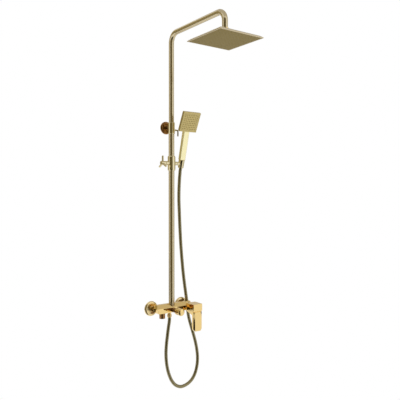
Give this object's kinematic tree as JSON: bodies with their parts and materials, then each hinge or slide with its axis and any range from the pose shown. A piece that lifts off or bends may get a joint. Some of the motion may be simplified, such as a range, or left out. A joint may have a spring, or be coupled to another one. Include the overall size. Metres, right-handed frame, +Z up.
{
  "type": "rainfall shower column",
  "caption": "Exposed wall shower column: bar mixer with lever and diverter knob, telescopic riser with gooseneck and square rain head, sliding holder with square hand shower and hose.",
  "frame": {"origin": "on the wall, midway between the water inlets of the mixer", "axes": "+Z up, +Y into the wall, +X to the right along the wall; the shower stands out towards -Y"},
  "size_m": [0.2604, 0.502, 1.5178],
  "materials": {
    "polished_gold": "polished gold-coloured plating on brass",
    "tube_gold": "polished gold-coloured plating on drawn brass tube",
    "head_plate": "satin gold-coloured nozzle plate",
    "handset_plastic": "gold-coloured plating on moulded plastic",
    "handset_plate": "satin gold-coloured nozzle plate",
    "steel": "plain stainless steel",
    "seal": "black rubber",
    "white_plastic": "white acetal",
    "hose_jacket": "gold-coloured wound metal jacket over a rubber tube"
  },
  "bodies": {
    "root": {"inlet_rosette_left": "polished_gold", "inlet_union_left": "polished_gold", "union_nut_left": "polished_gold", "inlet_washer_left": "seal", "inlet_rosette_right": "polished_gold", "inlet_union_right": "polished_gold", "union_nut_right": "polished_gold", "inlet_washer_right": "seal", "mixer_body": "polished_gold", "cartridge_body": "white_plastic", "cartridge_bonnet": "polished_gold", "diverter_valve": "white_plastic", "diverter_bonnet": "polished_gold", "outlet_housing": "polished_gold", "outlet_aerator": "white_plastic", "hose_nipple": "polished_gold", "hose_nut_lower": "polished_gold", "hose_washer_lower": "seal", "riser_tube": "tube_gold", "telescope_seal": "seal", "wall_bracket": "polished_gold", "bracket_rosette": "polished_gold", "bracket_stud": "steel", "shower_hose": "hose_jacket"},
    "column": {"upper_tube": "tube_gold"},
    "gooseneck": {"gooseneck_arm": "tube_gold", "gooseneck_spigot": "steel", "arm_end_fitting": "steel", "swivel_nut": "polished_gold"},
    "head_spin": {"ball_seat_ring": "white_plastic"},
    "head_rock": {"ball_liner": "white_plastic"},
    "rain_head": {"swivel_ball": "polished_gold", "rain_head_shell": "tube_gold", "rain_head_face": "head_plate"},
    "slider": {"slider_sleeve": "polished_gold", "holder_pivot_pin": "steel", "holder_friction_washer": "white_plastic"},
    "clamp_pad": {"clamp_pad": "white_plastic"},
    "clamp_handle": {"clamp_screw": "steel", "clamp_handle": "polished_gold"},
    "holder": {"handset_holder": "polished_gold"},
    "handset": {"hose_nut_upper": "polished_gold", "handset_body": "handset_plastic", "handset_face": "handset_plate", "hose_washer_upper": "seal"},
    "lock_pad": {"lock_pad": "white_plastic"},
    "lock_lever": {"height_lock_lever": "polished_gold"},
    "mixer_carrier": {"cartridge_carrier": "white_plastic", "stem_pin": "steel"},
    "mixer_handle": {"cartridge_stem": "steel", "mixer_handle": "polished_gold", "handle_grub_screw": "steel"},
    "diverter": {"diverter_stem": "steel", "diverter_knob": "polished_gold"}
  },
  "joints": [
    {"name": "column_height", "type": "slide", "parent": "root", "child": "column", "axis": [0, 0, 1], "range_m": [-0.18, 0.15]},
    {"name": "gooseneck_swivel", "type": "hinge", "parent": "column", "child": "gooseneck", "pos_m": [0, -0.045, 1.008], "axis": [0, 0, 1], "range_deg": [-60, 60]},
    {"name": "head_spin", "type": "hinge", "parent": "gooseneck", "child": "head_spin", "pos_m": [0, -0.403, 1.07], "axis": [0, 0, 1], "continuous": true},
    {"name": "head_rock", "type": "hinge", "parent": "head_spin", "child": "head_rock", "pos_m": [0, -0.403, 1.07], "axis": [1, 0, 0], "range_deg": [-13, 13]},
    {"name": "head_tilt", "type": "hinge", "parent": "head_rock", "child": "rain_head", "pos_m": [0, -0.403, 1.07], "axis": [0, 1, 0], "range_deg": [-13, 13]},
    {"name": "slider_height", "type": "slide", "parent": "root", "child": "slider", "axis": [0, 0, 1], "range_m": [-0.35, 0.06], "deforming": ["shower_hose"]},
    {"name": "clamp_pad_slide", "type": "slide", "parent": "slider", "child": "clamp_pad", "axis": [-1, 0, 0], "range_m": [0, 0.000937]},
    {"name": "clamp_turn", "type": "hinge", "parent": "clamp_pad", "child": "clamp_handle", "pos_m": [-0.043, -0.045, 0.61], "axis": [-1, 0, 0], "range_deg": [0, 270]},
    {"name": "holder_tilt", "type": "hinge", "parent": "slider", "child": "holder", "pos_m": [0.024, -0.045, 0.61], "axis": [1, 0, 0], "range_deg": [-8, 40], "deforming": ["shower_hose"]},
    {"name": "handset_lift", "type": "slide", "parent": "holder", "child": "handset", "axis": [0, -0.2588, 0.9659], "range_m": [0, 0.06], "deforming": ["shower_hose"]},
    {"name": "lock_pad_slide", "type": "slide", "parent": "root", "child": "lock_pad", "axis": [1, 0, 0], "range_m": [0, 0.000312]},
    {"name": "lock_turn", "type": "hinge", "parent": "lock_pad", "child": "lock_lever", "pos_m": [0.02, -0.045, 0.75], "axis": [1, 0, 0], "range_deg": [0, 90]},
    {"name": "mixer_temperature", "type": "hinge", "parent": "root", "child": "mixer_carrier", "pos_m": [0.0795, -0.084, 0.0025], "axis": [0, -1, 0], "range_deg": [-45, 45]},
    {"name": "mixer_flow", "type": "hinge", "parent": "mixer_carrier", "child": "mixer_handle", "pos_m": [0.0795, -0.084, 0.0025], "axis": [-1, 0, 0], "range_deg": [0, 18]},
    {"name": "diverter_turn", "type": "hinge", "parent": "root", "child": "diverter", "pos_m": [0, -0.1, -0.0045], "axis": [0, -1, 0], "range_deg": [-60, 60]}
  ],
  "couplings": [
    {"joint": "clamp_turn", "follows": "clamp_pad_slide", "rad_per_m": 5026.5},
    {"joint": "lock_turn", "follows": "lock_pad_slide", "rad_per_m": 5026.5}
  ]
}
